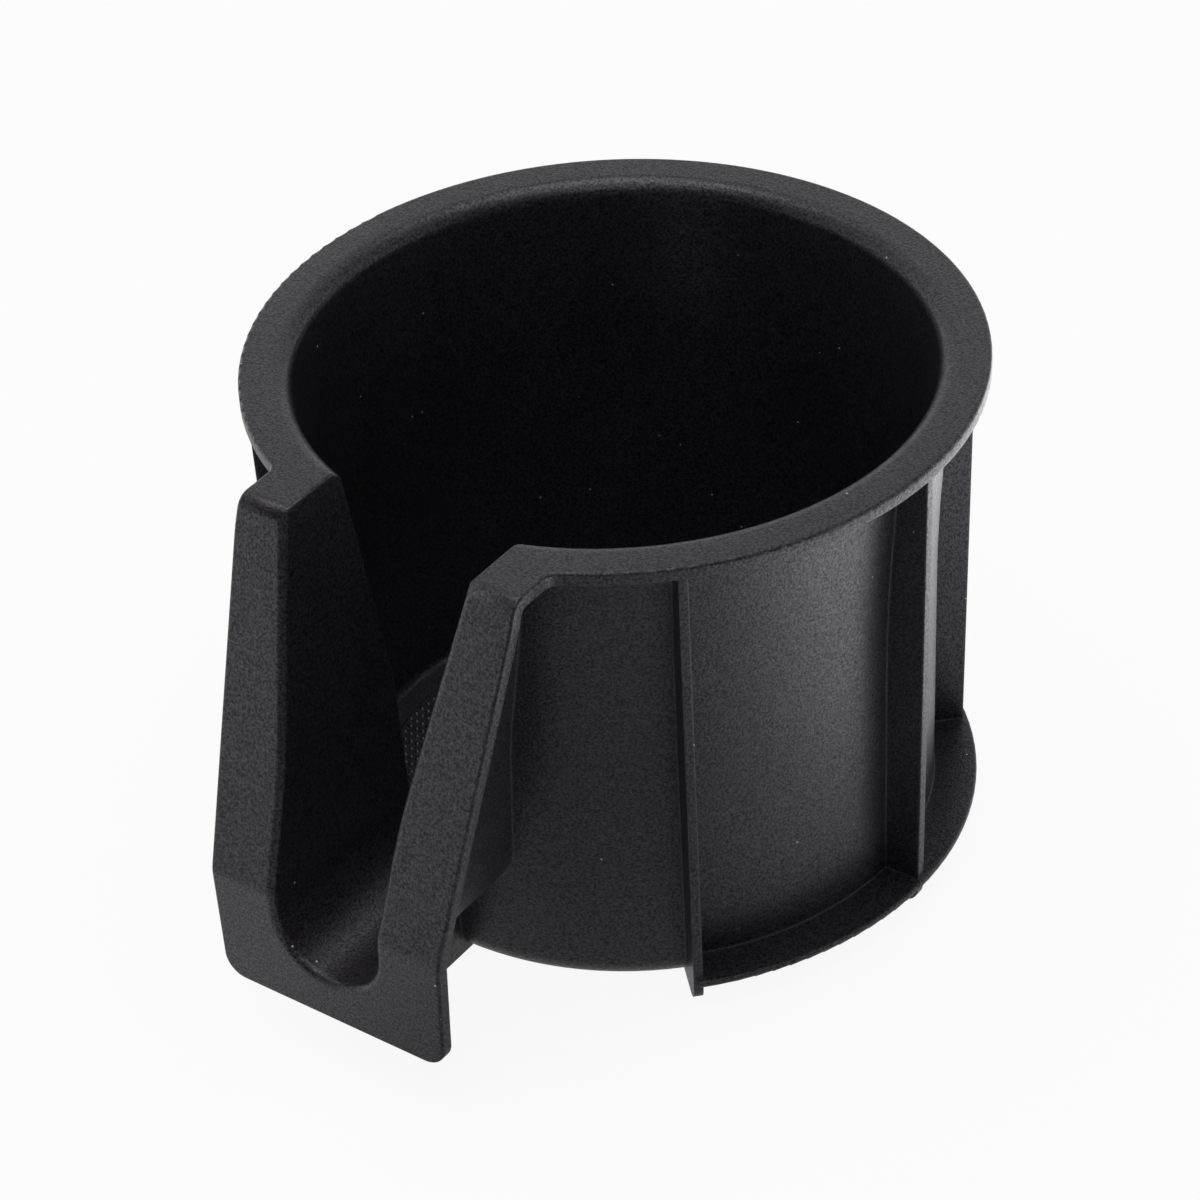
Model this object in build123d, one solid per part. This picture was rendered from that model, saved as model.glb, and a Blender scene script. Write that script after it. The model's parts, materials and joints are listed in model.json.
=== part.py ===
# Drop-in cup holder insert for a car console, moulded in one piece.
# A round cup with a flat rim carries a U-shaped channel for a mug's handle. The channel opens through a
# front frame that leans out and then drops straight.
# Ribs, a web under the channel and a foot flange steady the cup.
# Millimetres, +Z up, the cup's axis on Z, the feet on z = 0, the channel facing -Y.
import os
from math import atan, hypot, pi, tan
from build123d import *

# Cup
total_height = 68.4  # feet to the top of the rim
rim_radius = 46.0
rim_thickness = 1.7  # the front frame carries this plate on
cup_wall = 1.7
rim_width = 4.6  # rim's underside, from the wall out
mouth_flare = 1.95  # how far the mouth widens above the knee of the wall
knee_height = 44.5
wall_draft = 0.55  # how far the wall widens from the foot to the knee
flare_round = 250.0  # long curve between the straight wall and the flare
foot_round = 3.8
floor_thickness = 2.0
floor_corner_round = 1.0
lip_round = 2.3  # inner edge of the mouth

# Handle channel, a tapered U in front view
channel_top_half = 13.35
channel_knee_half = 8.45
channel_knee_height = 38.0
channel_floor_half = 7.25
channel_floor_height = 13.6
channel_side_round = 80.0
channel_floor_flat = 0.5  # level strip between the two roundings of the floor
channel_wall = 1.5
channel_edge_round = 0.4  # edges with the rim and with the cup's inside

# Front frame
frame_overhang = 1.96  # leaning face in front of the rim, at the height of the rim
frame_lean = 15.74  # upright lower face in front of that
frame_bend_height = 23.7
frame_bottom_height = 7.55
frame_top_half = 20.2
frame_bend_half = 17.2
frame_bottom_half = 16.7
frame_side_drop = 4.0  # upright part of the frame's sides, below the top
frame_side_round = 20.0  # where the sides start to draw in
frame_shoulder_round = 2.3
frame_bend_round = 4.0
frame_opening_round = 1.0  # front edge of the channel
frame_corner_round = 3.0
frame_rim_round = 2.0  # inside corner where the frame's side leaves the rim

# Ribs, web and foot flange
rib_angles = (45, 90, 135, 180, 225, 270, 315)  # from the channel, round the cup
rib_thickness = 1.2
rib_top_inset = 0.7  # ribs' outer edges inside the rim's edge
rib_foot_width = 4.8  # ribs' feet, from the wall out
rib_foot_round = 2.5
web_thickness = 1.0
web_front_rise = 1.0  # web's lower edge above the frame's bottom edge
flange_width = 5.6
flange_thickness = 0.9
flange_height = 3.2  # underside of the flange above the feet
flange_edge_round = 0.3
outer_edge_round = 0.4  # rim's and frame's outer edges
match = 0.001  # how closely an edge has to lie on a size to be found by it


# Face with rounded corners, from (across, up, radius) for each corner
def outline(*corners):
    points = [(across, up) for across, up, radius in corners]
    radii = [radius for across, up, radius in corners]
    return make_face(FilletPolyline(*points, radius=radii, close=True))


def turned(*corners):
    return revolve(Plane.XZ * outline(*corners), Axis.Z)


# Mirrors the right-hand corners of a front view, listed from the top down, to a closed outline
def mirrored(*right_side):
    left_side = [(-across, up, radius) for across, up, radius in reversed(right_side)]
    return outline(*right_side, *left_side)


rim_underside = total_height - rim_thickness
neck_radius = rim_radius - rim_width  # outside of the wall under the rim
knee_radius = neck_radius - mouth_flare
foot_radius = knee_radius - wall_draft
flange_radius = foot_radius + flange_width
rib_foot_reach = foot_radius + rib_foot_width
rib_top_reach = rim_radius - rib_top_inset
frame_thickness = rim_thickness
frame_top_reach = rim_radius + frame_overhang  # from the cup's axis
frame_low_reach = frame_top_reach + frame_lean
frame_slope = frame_lean / (total_height - frame_bend_height)
channel_draft = (channel_knee_half - channel_floor_half) / (channel_knee_height - channel_floor_height)
channel_floor_turn = pi / 2 - atan(channel_draft)
channel_floor_round = (channel_floor_half - channel_floor_flat / 2) / tan(channel_floor_turn / 2)
in_wall = cup_wall / 2  # how deep joined pieces reach into the wall


def cup_blank():
    return turned(
        (0, 0, 0),
        (foot_radius, 0, foot_round),
        (knee_radius, knee_height, flare_round),
        (neck_radius, rim_underside, 0),
        (rim_radius, rim_underside, 0),
        (rim_radius, total_height, 0),
        (0, total_height, 0),
    )


def cup_space():
    mouth_radius = neck_radius - cup_wall
    clear_top = total_height + lip_round
    return turned(
        (0, floor_thickness, 0),
        (foot_radius - cup_wall, floor_thickness, floor_corner_round),
        (knee_radius - cup_wall, knee_height, flare_round),
        (mouth_radius, total_height, lip_round),
        (mouth_radius + 2 * lip_round, total_height, 0),
        (mouth_radius + 2 * lip_round, clear_top, 0),
        (0, clear_top, 0),
    )


# U section of the channel, with its open top above the rim
def channel_section():
    rise = total_height - channel_knee_height
    slope = (channel_top_half - channel_knee_half) / rise
    above = total_height + rim_radius
    top_half = channel_top_half + slope * rim_radius
    return mirrored(
        (top_half, above, 0),
        (channel_knee_half, channel_knee_height, channel_side_round),
        (channel_floor_half, channel_floor_height, channel_floor_round),
    )


# Everything behind the frame's front face, in side view
def frame_side():
    below = -frame_low_reach
    return outline(
        (0, total_height, 0),
        (-frame_top_reach, total_height, frame_shoulder_round),
        (-frame_low_reach, frame_bend_height, frame_bend_round),
        (-frame_low_reach, below, 0),
        (0, below, 0),
    )


def across(side_face):
    return extrude(Plane.YZ * side_face, rim_radius, both=True)


def forward(front_face):
    return extrude(Plane.XZ * front_face, frame_low_reach + frame_thickness)


def front_frame():
    side = frame_side()
    plate = across(side) - across(offset(side, -frame_thickness))
    front = mirrored(
        (frame_top_half, total_height, 0),
        (frame_top_half, total_height - frame_side_drop, frame_side_round),
        (frame_bend_half, frame_bend_height, frame_bend_round),
        (frame_bottom_half, frame_bottom_height, frame_corner_round),
    )
    return plate & forward(front)


def channel_blank():
    return forward(offset(channel_section(), channel_wall)) & across(frame_side())


def rib(angle):
    upright = outline(
        (foot_radius - foot_round, 0, 0),
        (rib_foot_reach, 0, rib_foot_round),
        (rib_top_reach, rim_underside + rim_thickness / 2, 0),
        (neck_radius - in_wall, rim_underside + rim_thickness / 2, 0),
        (knee_radius - in_wall, knee_height, 0),
        (foot_radius - in_wall, floor_thickness + foot_round, 0),
        (foot_radius - foot_round, floor_thickness / 2, 0),
    )
    plate = extrude(Plane.XZ * upright, rib_thickness / 2, both=True)
    return Rot(0, 0, angle - 90) * plate


def web():
    under_channel = channel_floor_height - channel_wall / 2
    in_frame = frame_low_reach - frame_thickness / 2
    upright = outline(
        (foot_radius - foot_round, 0, 0),
        (rib_foot_reach, 0, rib_foot_round),
        (in_frame, frame_bottom_height + web_front_rise, 0),
        (in_frame, under_channel, 0),
        (foot_radius - in_wall, under_channel, 0),
        (foot_radius - in_wall, floor_thickness + foot_round, 0),
        (foot_radius - foot_round, floor_thickness / 2, 0),
    )
    plate = extrude(Plane.XZ * upright, web_thickness / 2, both=True)
    return Rot(0, 0, -90) * plate


# Ring round the foot, open between the two ribs beside the channel
def foot_flange():
    ring = turned(
        (foot_radius - in_wall, flange_height, 0),
        (flange_radius, flange_height, flange_edge_round),
        (flange_radius, flange_height + flange_thickness, flange_edge_round),
        (foot_radius - in_wall, flange_height + flange_thickness, 0),
    )
    side = 2 * flange_radius
    opening = Box(side, side, total_height, align=(Align.MAX, Align.MAX, Align.CENTER))
    return ring - Rot(0, 0, rib_angles[0]) * opening


# Rounds the edge that the channel's floor makes at one end, and the smooth line that this edge belongs to
def rounded_end(space, end, radius):
    low, high = channel_floor_height - match, channel_floor_height + match
    floor_edges = space.edges().filter_by_position(Axis.Z, low, high)
    return fillet(floor_edges.sort_by(Axis.Y)[end], radius)


# Space inside the cup, above the rim and in the channel, with the edges between them rounded
def inside_space():
    side = 3 * frame_low_reach
    block = Box(side, side, total_height, align=(Align.CENTER, Align.CENTER, Align.MIN))
    above_rim = Pos(0, 0, total_height) * block
    return rounded_end(cup_space() + above_rim + forward(channel_section()), -1, channel_edge_round)


# Space in front of the frame and in the channel, with the edge between them rounded
def front_space():
    above = total_height + 2 * frame_shoulder_round
    far = frame_low_reach + 2 * frame_thickness
    before_frame = outline(
        (-frame_top_reach + frame_slope * (above - total_height), above, 0),
        (-frame_low_reach, frame_bend_height, frame_bend_round),
        (-frame_low_reach, -frame_low_reach, 0),
        (-far, -frame_low_reach, 0),
        (-far, above, 0),
    )
    return rounded_end(across(before_frame) + forward(channel_section()), 0, frame_opening_round)


def on_rim_side(edge):
    middle = edge @ 0.5
    return abs(hypot(middle.X, middle.Y) - rim_radius) < match


body = cup_blank() + front_frame() + channel_blank() + foot_flange() + web()
for angle in rib_angles:
    body += rib(angle)
body -= inside_space()
body -= front_space()

# The two upright edges on the rim's side are the corners with the frame
rim_corners = body.edges().filter_by(on_rim_side).filter_by(Axis.Z)
body = fillet(rim_corners, frame_rim_round)

# This rounding starts at the rim's top edge and follows it down and round the frame
rim_edge = body.edges().filter_by(on_rim_side).sort_by(Axis.Z)[-1]
body = fillet(rim_edge, outer_edge_round)

os.makedirs("parts", exist_ok=True)
export_step(body, "parts/holder_body.step")
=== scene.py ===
import json
import math

import bpy
from mathutils import Matrix, Vector

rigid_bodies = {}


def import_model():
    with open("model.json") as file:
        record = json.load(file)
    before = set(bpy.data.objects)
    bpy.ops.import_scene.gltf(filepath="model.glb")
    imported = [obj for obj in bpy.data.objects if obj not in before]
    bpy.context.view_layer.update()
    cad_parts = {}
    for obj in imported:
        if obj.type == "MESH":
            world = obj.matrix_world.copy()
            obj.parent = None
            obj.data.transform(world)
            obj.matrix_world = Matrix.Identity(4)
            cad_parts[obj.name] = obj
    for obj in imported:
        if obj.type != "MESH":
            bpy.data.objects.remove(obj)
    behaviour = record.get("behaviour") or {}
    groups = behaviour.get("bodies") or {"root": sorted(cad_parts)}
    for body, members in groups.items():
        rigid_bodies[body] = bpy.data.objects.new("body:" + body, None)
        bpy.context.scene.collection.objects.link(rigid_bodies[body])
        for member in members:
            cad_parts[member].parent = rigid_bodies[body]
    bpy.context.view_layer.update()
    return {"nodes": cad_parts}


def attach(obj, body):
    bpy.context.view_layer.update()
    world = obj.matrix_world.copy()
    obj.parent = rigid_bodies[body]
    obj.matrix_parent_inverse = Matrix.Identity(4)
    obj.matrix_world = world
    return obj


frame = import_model()
scene = bpy.context.scene
holder = frame["nodes"]["holder_body"]
mm = 0.001


def addObject(name, data):
    added = bpy.data.objects.new(name, data)
    scene.collection.objects.link(added)
    return added


# node trees

# links a socket to another one, or sets it to a value
def feed(tree, socket, value):
    if isinstance(value, bpy.types.NodeSocket):
        tree.links.new(value, socket)
    else:
        socket.default_value = value


# feeds sockets by their labels from a dictionary, or in their order from a list
def feedAll(tree, sockets, values):
    pairs = values.items() if isinstance(values, dict) else enumerate(values)
    for key, value in pairs:
        feed(tree, sockets[key], value)


# the settings come first, because some of them decide which sockets the node has
def addNode(tree, kind, inputs=(), **settings):
    node = tree.nodes.new(kind)
    for name, value in settings.items():
        setattr(node, name, value)
    feedAll(tree, node.inputs, inputs)
    return node


def mathNode(tree, operation, *values):
    return addNode(tree, "ShaderNodeMath", values, operation=operation).outputs[0]


def rampNode(tree, factor, fromLow, fromHigh, toLow, toHigh):
    limits = (factor, fromLow, fromHigh, toLow, toHigh)
    return addNode(tree, "ShaderNodeMapRange", limits, clamp=True).outputs[0]


def noiseNode(tree, vector, scale, detail, roughness):
    inputs = {"Vector": vector, "Scale": scale, "Detail": detail, "Roughness": roughness}
    return addNode(tree, "ShaderNodeTexNoise", inputs).outputs[0]


def measureNode(tree, operation, *vectors):
    return addNode(tree, "ShaderNodeVectorMath", vectors, operation=operation).outputs["Value"]


def compareNode(tree, operation, first, second):
    inputs = {"A": first, "B": second}
    node = addNode(tree, "FunctionNodeCompare", inputs, data_type="FLOAT", operation=operation)
    return node.outputs["Result"]


def mixNode(tree, factor, first, second, **settings):
    inputs = {"Factor": factor, "A": first, "B": second}
    node = addNode(tree, "ShaderNodeMix", inputs, data_type="RGBA", **settings)
    return node.outputs["Result"]


# 1 where the share is 0, and the value where the share is 1
def easedNode(tree, share, value):
    return mathNode(tree, "MULTIPLY_ADD", share, mathNode(tree, "SUBTRACT", value, 1.0), 1.0)


# inputs and outputs are labels with the type of their socket
def startGroup(name, kind, inputs, outputs):
    tree = bpy.data.node_groups.new(name, kind)
    for direction, sockets in (("INPUT", inputs), ("OUTPUT", outputs)):
        for label, content in sockets.items():
            tree.interface.new_socket(name=label, in_out=direction, socket_type="NodeSocket" + content)
    return tree, addNode(tree, "NodeGroupInput").outputs, addNode(tree, "NodeGroupOutput").inputs


def inputId(tree, label):
    items = tree.interface.items_tree
    return next(item.identifier for item in items if item.name == label and item.in_out == "INPUT")


# fine grain of the mould, with a slow drift in how smooth it came out

grainShape = {
    "fineNoise": (3.0, 0.6),  # detail and roughness
    "driftNoise": (4.0, 0.55),
    "fineShare": 0.4,  # how much of the roughness follows each noise
    "driftShare": 0.6,
    "noiseRange": (0.3, 0.7),  # part of the noise that counts
    "speckleRange": (0.36, 0.64),
    "shadeRange": (0.75, 1.0),  # how far the drift takes the speckle back
}


def mouldedGrainGroup():
    tree, given, result = startGroup(
        "mouldedGrain",
        "ShaderNodeTree",
        {
            "Vector": "Vector",
            "Grain Scale": "Float",
            "Drift Scale": "Float",
            "Smoothest": "Float",
            "Roughest": "Float",
            "Most Glint": "Float",
        },
        {"Height": "Float", "Roughness": "Float", "Shade": "Float", "Glint": "Float"},
    )
    fine = noiseNode(tree, given["Vector"], given["Grain Scale"], *grainShape["fineNoise"])
    drift = noiseNode(tree, given["Vector"], given["Drift Scale"], *grainShape["driftNoise"])
    slow = mathNode(tree, "MULTIPLY", drift, grainShape["driftShare"])
    mixed = mathNode(tree, "ADD", slow, mathNode(tree, "MULTIPLY", fine, grainShape["fineShare"]))
    rough = rampNode(tree, mixed, *grainShape["noiseRange"], given["Smoothest"], given["Roughest"])
    speckle = rampNode(tree, fine, *grainShape["speckleRange"], 0.0, 1.0)
    fading = rampNode(tree, drift, *grainShape["noiseRange"], *grainShape["shadeRange"])
    shade = mathNode(tree, "MULTIPLY", speckle, fading)
    glint = mathNode(tree, "MULTIPLY", speckle, given["Most Glint"])
    feedAll(tree, result, {"Height": fine, "Roughness": rough, "Shade": shade, "Glint": glint})
    return tree


# a few pale specks that lie where they fell

def settledDustGroup():
    tree, given, result = startGroup(
        "settledDust",
        "ShaderNodeTree",
        {"Vector": "Vector", "Cells": "Float", "Share": "Float", "Speck Size": "Float"},
        {"Mask": "Float"},
    )
    inputs = {"Vector": given["Vector"], "Scale": given["Cells"]}
    cells = addNode(tree, "ShaderNodeTexVoronoi", inputs).outputs
    chance = addNode(tree, "ShaderNodeSeparateColor", [cells["Color"]]).outputs[0]
    near = mathNode(tree, "LESS_THAN", cells["Distance"], given["Speck Size"])
    chosen = mathNode(tree, "LESS_THAN", chance, given["Share"])
    feed(tree, result["Mask"], mathNode(tree, "MULTIPLY", near, chosen))
    return tree


# edges that shade as slightly rounded, with a mask for where they are

edgeShape = {
    "samples": 6,
    "fullTurn": 0.8,  # cosine of the turn at which the mask is full
    "leastTurn": 0.98,  # and of the turn at which it starts
}


def softEdgesGroup():
    tree, given, result = startGroup(
        "softEdges", "ShaderNodeTree", {"Radius": "Float"}, {"Normal": "Vector", "Mask": "Float"}
    )
    bevel = addNode(tree, "ShaderNodeBevel", {"Radius": given["Radius"]}, samples=edgeShape["samples"])
    rounded = bevel.outputs["Normal"]
    plain = addNode(tree, "ShaderNodeNewGeometry").outputs["Normal"]
    turn = measureNode(tree, "DOT_PRODUCT", rounded, plain)
    mask = rampNode(tree, turn, edgeShape["fullTurn"], edgeShape["leastTurn"], 1.0, 0.0)
    feedAll(tree, result, {"Normal": rounded, "Mask": mask})
    return tree


mouldedGrain = mouldedGrainGroup()
settledDust = settledDustGroup()
softEdges = softEdgesGroup()


def plasticMaterial(name, look):
    material = bpy.data.materials.new(name)
    material.use_nodes = True
    tree = material.node_tree
    place = addNode(tree, "ShaderNodeTexCoord").outputs["Object"]

    def effect(group, inputs):
        return addNode(tree, "ShaderNodeGroup", inputs, node_tree=group).outputs

    grain = effect(mouldedGrain, dict(look["grain"], Vector=place))
    dust = effect(settledDust, dict(look["dust"], Vector=place))
    edges = effect(softEdges, {"Radius": look["edgeRound"]})
    tone = mixNode(tree, grain["Shade"], look["darker"], look["lighter"])
    # painted highlight: edges, outer and inner alike, are given a lighter colour
    withEdgeHighlight = mixNode(tree, edges["Mask"], tone, look["paintedEdgeHighlight"])
    bumpInputs = {
        "Strength": look["bumpStrength"],
        "Distance": look["bumpDepth"],
        "Height": grain["Height"],
        "Normal": edges["Normal"],
    }
    shaderInputs = {
        "Base Color": mixNode(tree, dust["Mask"], withEdgeHighlight, look["dustColour"]),
        "Roughness": grain["Roughness"],
        "Coat Weight": grain["Glint"],
        "Coat Roughness": look["glintRoughness"],
        "Normal": addNode(tree, "ShaderNodeBump", bumpInputs).outputs["Normal"],
        "IOR": look["ior"],
        "Specular Tint": look["shine"],
    }
    feedAll(tree, tree.nodes["Principled BSDF"].inputs, shaderInputs)
    return material


# holder body: the CAD solid with its moulded finish

bodyLook = {
    "grain": {
        "Grain Scale": 3000.0,
        "Drift Scale": 70.0,
        "Smoothest": 0.29,
        "Roughest": 0.37,
        "Most Glint": 0.7,
    },
    "dust": {"Cells": 260.0, "Share": 0.5, "Speck Size": 0.034},
    "darker": (0.0030, 0.0027, 0.0034, 1),
    "lighter": (0.0350, 0.0318, 0.0380, 1),
    "shine": (0.91, 0.86, 1.0, 1),
    # painted highlight colour along the edges
    "paintedEdgeHighlight": (0.046, 0.043, 0.049, 1),
    "dustColour": (0.6, 0.6, 0.58, 1),
    "glintRoughness": 0.3,
    "bumpStrength": 0.8,
    "bumpDepth": 0.15 * mm,
    "edgeRound": 0.5 * mm,  # how wide the moulded edges shade as rounded
    "ior": 1.40,
    "mergeWithin": 0.001 * mm,  # corners of the solid's faces that are one point
    "smoothUnder": 65.0,  # degrees between faces that still read as one curve
}


def smoothByAngle(tree, geometry, limit):
    corner = addNode(tree, "GeometryNodeInputMeshEdgeAngle").outputs["Unsigned Angle"]
    flat = compareNode(tree, "LESS_THAN", corner, limit)
    faces = addNode(tree, "GeometryNodeSetShadeSmooth", {"Geometry": geometry}, domain="FACE")
    inputs = {"Geometry": faces.outputs["Geometry"], "Shade Smooth": flat}
    return addNode(tree, "GeometryNodeSetShadeSmooth", inputs, domain="EDGE").outputs["Geometry"]


def smoothCurvesGroup():
    tree, given, result = startGroup(
        "smoothCurves",
        "GeometryNodeTree",
        {"Geometry": "Geometry", "Smooth Under": "Float"},
        {"Geometry": "Geometry"},
    )
    inputs = {"Geometry": given["Geometry"], "Distance": bodyLook["mergeWithin"]}
    merged = addNode(tree, "GeometryNodeMergeByDistance", inputs).outputs["Geometry"]
    feed(tree, result["Geometry"], smoothByAngle(tree, merged, given["Smooth Under"]))
    return tree


bodyPlastic = plasticMaterial("bodyPlastic", bodyLook)
holder.data.materials.clear()
holder.data.materials.append(bodyPlastic)
smoothCurves = smoothCurvesGroup()
smoothing = holder.modifiers.new("smoothCurves", "NODES")
smoothing.node_group = smoothCurves
smoothing[inputId(smoothCurves, "Smooth Under")] = math.radians(bodyLook["smoothUnder"])
weighting = holder.modifiers.new("evenNormals", "WEIGHTED_NORMAL")
weighting.keep_sharp = True
print("holder body: finish set")


# dots moulded into the cup's floor, with a bead round the field

floorDots = {
    "Field Radius": 33.6 * mm,
    "Pitch Across": 1.0 * mm,
    "Pitch Along": 1.28 * mm,
    "Dot Sides": 8,
    "Dot Radius": 0.43 * mm,
    "Tip Radius": 0.12 * mm,
    "Dot Height": 0.30 * mm,  # half of it stands out of the floor
    "Bead Steps": 180,
    "Bead Sides": 8,
    "Bead Radius": 0.17 * mm,
    "Floor Height": 2.0 * mm,
    "Smooth Under": math.radians(80),
}
dotLook = dict(
    bodyLook,
    grain={
        "Grain Scale": 3600.0,
        "Drift Scale": 90.0,
        "Smoothest": 0.28,
        "Roughest": 0.34,
        "Most Glint": 0.2,
    },
    dust={"Cells": 180.0, "Share": 0.02, "Speck Size": 0.03},
    lighter=(0.036, 0.033, 0.039, 1),
    bumpStrength=0.1,
    edgeRound=0.05 * mm,
)


def floorDotsGroup():
    sizes = {label: "Int" if isinstance(value, int) else "Float" for label, value in floorDots.items()}
    tree, given, result = startGroup(
        "floorDots", "GeometryNodeTree", dict(sizes, Finish="Material"), {"Geometry": "Geometry"}
    )

    def add(kind, inputs, output, **settings):
        return addNode(tree, kind, inputs, **settings).outputs[output]

    def calc(operation, *values):
        return mathNode(tree, operation, *values)

    def circle(steps, radius):
        inputs = {"Resolution": given[steps], "Radius": given[radius]}
        return add("GeometryNodeCurvePrimitiveCircle", inputs, "Curve")

    span = calc("MULTIPLY", given["Field Radius"], 2.0)
    gridSize = {}
    for side, pitch in (("X", "Pitch Across"), ("Y", "Pitch Along")):
        gaps = calc("FLOOR", calc("DIVIDE", span, given[pitch]))
        gridSize["Vertices " + side] = calc("ADD", gaps, 1.0)
        gridSize["Size " + side] = calc("MULTIPLY", gaps, given[pitch])
    grid = add("GeometryNodeMeshGrid", gridSize, "Mesh")
    fromMiddle = measureNode(tree, "LENGTH", add("GeometryNodeInputPosition", (), "Position"))
    reach = calc("SUBTRACT", given["Field Radius"], given["Dot Radius"])
    outside = compareNode(tree, "GREATER_THAN", fromMiddle, reach)
    trimInputs = {"Geometry": grid, "Selection": outside}
    trimmed = add("GeometryNodeDeleteGeometry", trimInputs, "Geometry", domain="POINT")
    dotInputs = {
        "Vertices": given["Dot Sides"],
        "Radius Bottom": given["Dot Radius"],
        "Radius Top": given["Tip Radius"],
        "Depth": given["Dot Height"],
    }
    dot = add("GeometryNodeMeshCone", dotInputs, "Mesh", fill_type="TRIANGLE_FAN")
    spread = add("GeometryNodeInstanceOnPoints", {"Points": trimmed, "Instance": dot}, "Instances")
    ring, profile = circle("Bead Steps", "Field Radius"), circle("Bead Sides", "Bead Radius")
    bead = add("GeometryNodeCurveToMesh", {"Curve": ring, "Profile Curve": profile}, "Mesh")
    both = addNode(tree, "GeometryNodeJoinGeometry")
    for geometry in (bead, spread):
        feed(tree, both.inputs["Geometry"], geometry)
    lift = add("ShaderNodeCombineXYZ", {"Z": given["Floor Height"]}, "Vector")
    placeInputs = {"Geometry": both.outputs["Geometry"], "Translation": lift}
    placed = add("GeometryNodeTransform", placeInputs, "Geometry")
    real = add("GeometryNodeRealizeInstances", {"Geometry": placed}, "Geometry")
    rounded = smoothByAngle(tree, real, given["Smooth Under"])
    finishInputs = {"Geometry": rounded, "Material": given["Finish"]}
    feed(tree, result["Geometry"], add("GeometryNodeSetMaterial", finishInputs, "Geometry"))
    return tree


def plainMesh(name, tree, values):
    carrier = addObject(name + "Nodes", bpy.data.meshes.new(name + "Nodes"))
    modifier = carrier.modifiers.new(name, "NODES")
    modifier.node_group = tree
    for label, value in values.items():
        modifier[inputId(tree, label)] = value
    depsgraph = bpy.context.evaluated_depsgraph_get()
    mesh = bpy.data.meshes.new_from_object(carrier.evaluated_get(depsgraph), depsgraph=depsgraph)
    bpy.data.objects.remove(carrier)
    return addObject(name, mesh)


dotPlastic = plasticMaterial("dotPlastic", dotLook)
dots = plainMesh("floorDots", floorDotsGroup(), dict(floorDots, Finish=dotPlastic))
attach(dots, "root")
print("floor dots:", len(dots.data.polygons), "faces")


# floor, light and camera

studio = {
    "floorRadius": 0.25,
    "floorStep": 3,  # degrees between the corners of the floor's edge
    "floorLevel": -0.1 * mm,
    "floorColour": (0.86, 0.86, 0.86, 1),
    "floorGlow": 0.92,  # how much of the floor's look is plain white, the rest takes the shadow
    "mirroredGlow": 0.7,  # the same for the floor as the plastic mirrors it
    "paintedShadeSpot": (0.041, -0.077, 0),  # middle of a painted shadow in the floor's glow, which the plastic mirrors in front of it
    "paintedShadeFrom": (0.020, 0.24),  # distance from there and level
    "paintedShadeTo": (0.061, 1.0),
    "paintedGlowTowards": (0.82, 0.57, 0),  # painted light: the floor's glow, as the plastic mirrors it, also grows stronger this way
    "paintedGlowFrom": (0.055, 0.7),  # distance that way and level
    "paintedGlowTo": (0.10, 3.2),
    "skyStops": ((0.0, 1.3), (0.3, 0.58), (0.6, 0.39), (0.82, 0.42), (1.0, 1.2)),  # height and level
    "skyShown": (1, 1, 1, 1),  # what the camera sees instead
    "darkSide": (0.52, -0.80, 0.12),  # the unlit side of the room, behind the camera
    "darkFrom": 0.36,  # cosine of the angle at which the dark starts
    "darkFull": 0.62,
    "darkLevel": 0.08,
    "dimFrom": -0.42,  # the sky is lighter on the left than above and on the right
    "dimFull": 0.0,
    "dimLevel": 0.7,
    "aloftFrom": 0.1,  # height in the sky at which that dimming starts
    "aloftFull": 0.3,
    "softBoxes": {  # place, size and power
        "topBox": ((-0.05, 0.04, 1.05), 0.75, 3.8),
        "fillBox": ((0.5, -0.62, 1.0), 0.6, 1.7),
    },
}


def along(tree, vector, towards):
    return measureNode(tree, "DOT_PRODUCT", vector, Vector(towards).normalized())


def levelNode(tree, distance, start, end):
    return rampNode(tree, distance, start[0], end[0], start[1], end[1])


def floorDisc():
    radius, level = studio["floorRadius"], studio["floorLevel"]
    turns = [math.radians(turn) for turn in range(0, 360, studio["floorStep"])]
    around = [(math.cos(turn) * radius, math.sin(turn) * radius, level) for turn in turns]
    mesh = bpy.data.meshes.new("studioFloor")
    mesh.from_pydata(around, [], [tuple(range(len(around)))])
    return mesh


def floorMaterial():
    material = bpy.data.materials.new("floorPaper")
    material.use_nodes = True
    tree = material.node_tree
    tree.nodes.clear()
    path = addNode(tree, "ShaderNodeLightPath").outputs
    place = addNode(tree, "ShaderNodeTexCoord").outputs["Object"]
    # painted shadow: the glow that the plastic mirrors is darker round a spot in front of the part
    away = measureNode(tree, "DISTANCE", place, studio["paintedShadeSpot"])
    shade = levelNode(tree, away, studio["paintedShadeFrom"], studio["paintedShadeTo"])
    # painted light: that glow grows stronger towards one side, to over three times white
    sideways = along(tree, place, studio["paintedGlowTowards"])
    paintedGlow = levelNode(tree, sideways, studio["paintedGlowFrom"], studio["paintedGlowTo"])
    paintedLight = mathNode(tree, "MULTIPLY", shade, paintedGlow)
    through = mathNode(tree, "MAXIMUM", path["Is Glossy Ray"], path["Is Transmission Ray"])
    seen = mathNode(tree, "MULTIPLY", path["Is Camera Ray"], studio["floorGlow"])
    mirrored = mathNode(tree, "MULTIPLY", through, studio["mirroredGlow"])
    share = mathNode(tree, "MAXIMUM", seen, mirrored)
    paper = addNode(tree, "ShaderNodeBsdfDiffuse", {"Color": studio["floorColour"]}).outputs[0]
    # the camera sees this glow as plain white; in reflections it carries the painted shadow and painted
    # light
    glow = addNode(tree, "ShaderNodeEmission", {"Strength": easedNode(tree, through, paintedLight)}).outputs[0]
    blend = addNode(tree, "ShaderNodeMixShader", [share, paper, glow]).outputs[0]
    addNode(tree, "ShaderNodeOutputMaterial", [blend])
    return material


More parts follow.
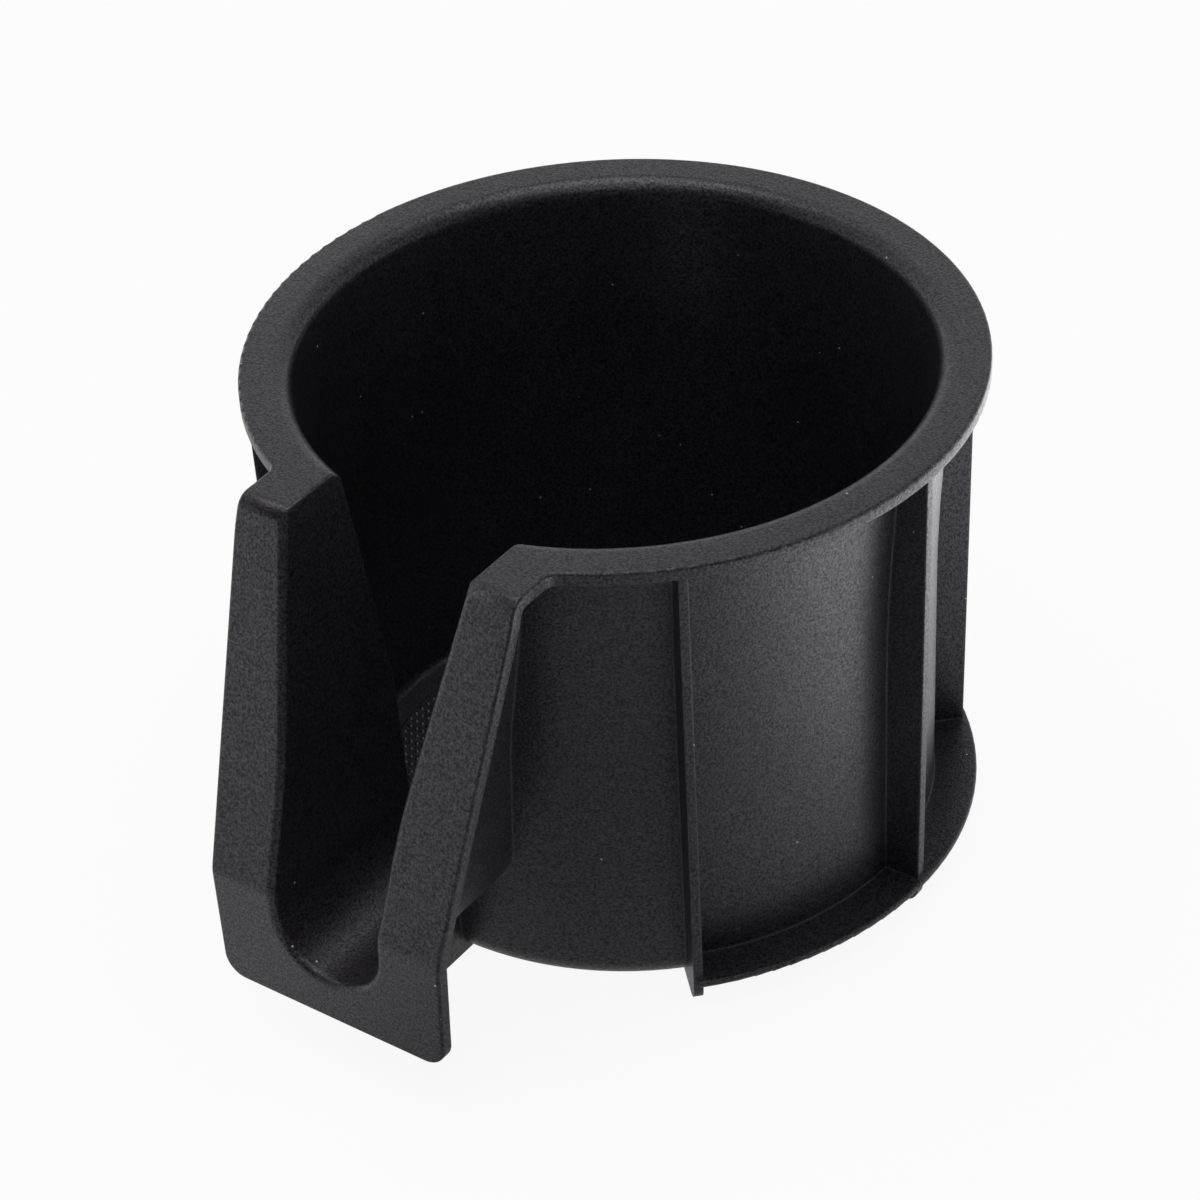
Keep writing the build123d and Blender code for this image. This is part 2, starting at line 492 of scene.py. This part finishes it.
def studioWorld():
    world = bpy.data.worlds.new("studio")
    world.use_nodes = True
    tree = world.node_tree
    looking = addNode(tree, "ShaderNodeTexCoord").outputs["Generated"]
    direction = addNode(tree, "ShaderNodeSeparateXYZ", [looking]).outputs
    darkwards = along(tree, looking, studio["darkSide"])
    room = rampNode(tree, darkwards, studio["darkFrom"], studio["darkFull"], 1.0, studio["darkLevel"])
    side = rampNode(tree, direction["X"], studio["dimFrom"], studio["dimFull"], 1.0, studio["dimLevel"])
    aloft = rampNode(tree, direction["Z"], studio["aloftFrom"], studio["aloftFull"], 0.0, 1.0)
    level = mathNode(tree, "MULTIPLY", room, easedNode(tree, aloft, side))
    sky = addNode(tree, "ShaderNodeValToRGB", [direction["Z"]])
    stops = sky.color_ramp.elements
    while len(stops) < len(studio["skyStops"]):
        stops.new(0.5)
    for stop, (rise, tone) in zip(stops, studio["skyStops"]):
        stop.position = rise
        stop.color = (tone, tone, tone, 1)
    dimmed = mixNode(tree, 1.0, sky.outputs[0], level, blend_type="MULTIPLY")
    seen = addNode(tree, "ShaderNodeLightPath").outputs["Is Camera Ray"]
    shown = mixNode(tree, seen, dimmed, studio["skyShown"])
    feed(tree, tree.nodes["Background"].inputs["Color"], shown)
    return world


floor = addObject("studioFloor", floorDisc())
floor.data.materials.append(floorMaterial())
scene.world = studioWorld()

for name, (spot, size, power) in studio["softBoxes"].items():
    softBox = bpy.data.lights.new(name, "AREA")
    softBox.shape = "SQUARE"
    softBox.size = size
    softBox.energy = power
    lamp = addObject(name, softBox)
    lamp.location = spot
    lamp.rotation_euler = Vector(spot).to_track_quat("Z", "Y").to_euler()

cameraPlace = {
    "spot": (257.47 * mm, -344.15 * mm, 349.17 * mm),
    "right": (0.81542, 0.57700, -0.04662),
    "up": (-0.31366, 0.50808, 0.80217),
    "lens": 126.0,
    "sensor": 36.0,
    "nearest": 0.01,
}
camera = bpy.data.cameras.new("photoCamera")
camera.lens = cameraPlace["lens"]
camera.sensor_width = cameraPlace["sensor"]
camera.clip_start = cameraPlace["nearest"]
cameraObject = addObject("photoCamera", camera)
right, up = Vector(cameraPlace["right"]), Vector(cameraPlace["up"])
axes = Matrix((right, up, right.cross(up))).transposed()
turned = axes.to_quaternion().to_matrix().to_4x4()
cameraObject.matrix_world = Matrix.Translation(cameraPlace["spot"]) @ turned
scene.camera = cameraObject
scene.view_settings.view_transform = "Standard"
print("studio: floor, light and camera set")
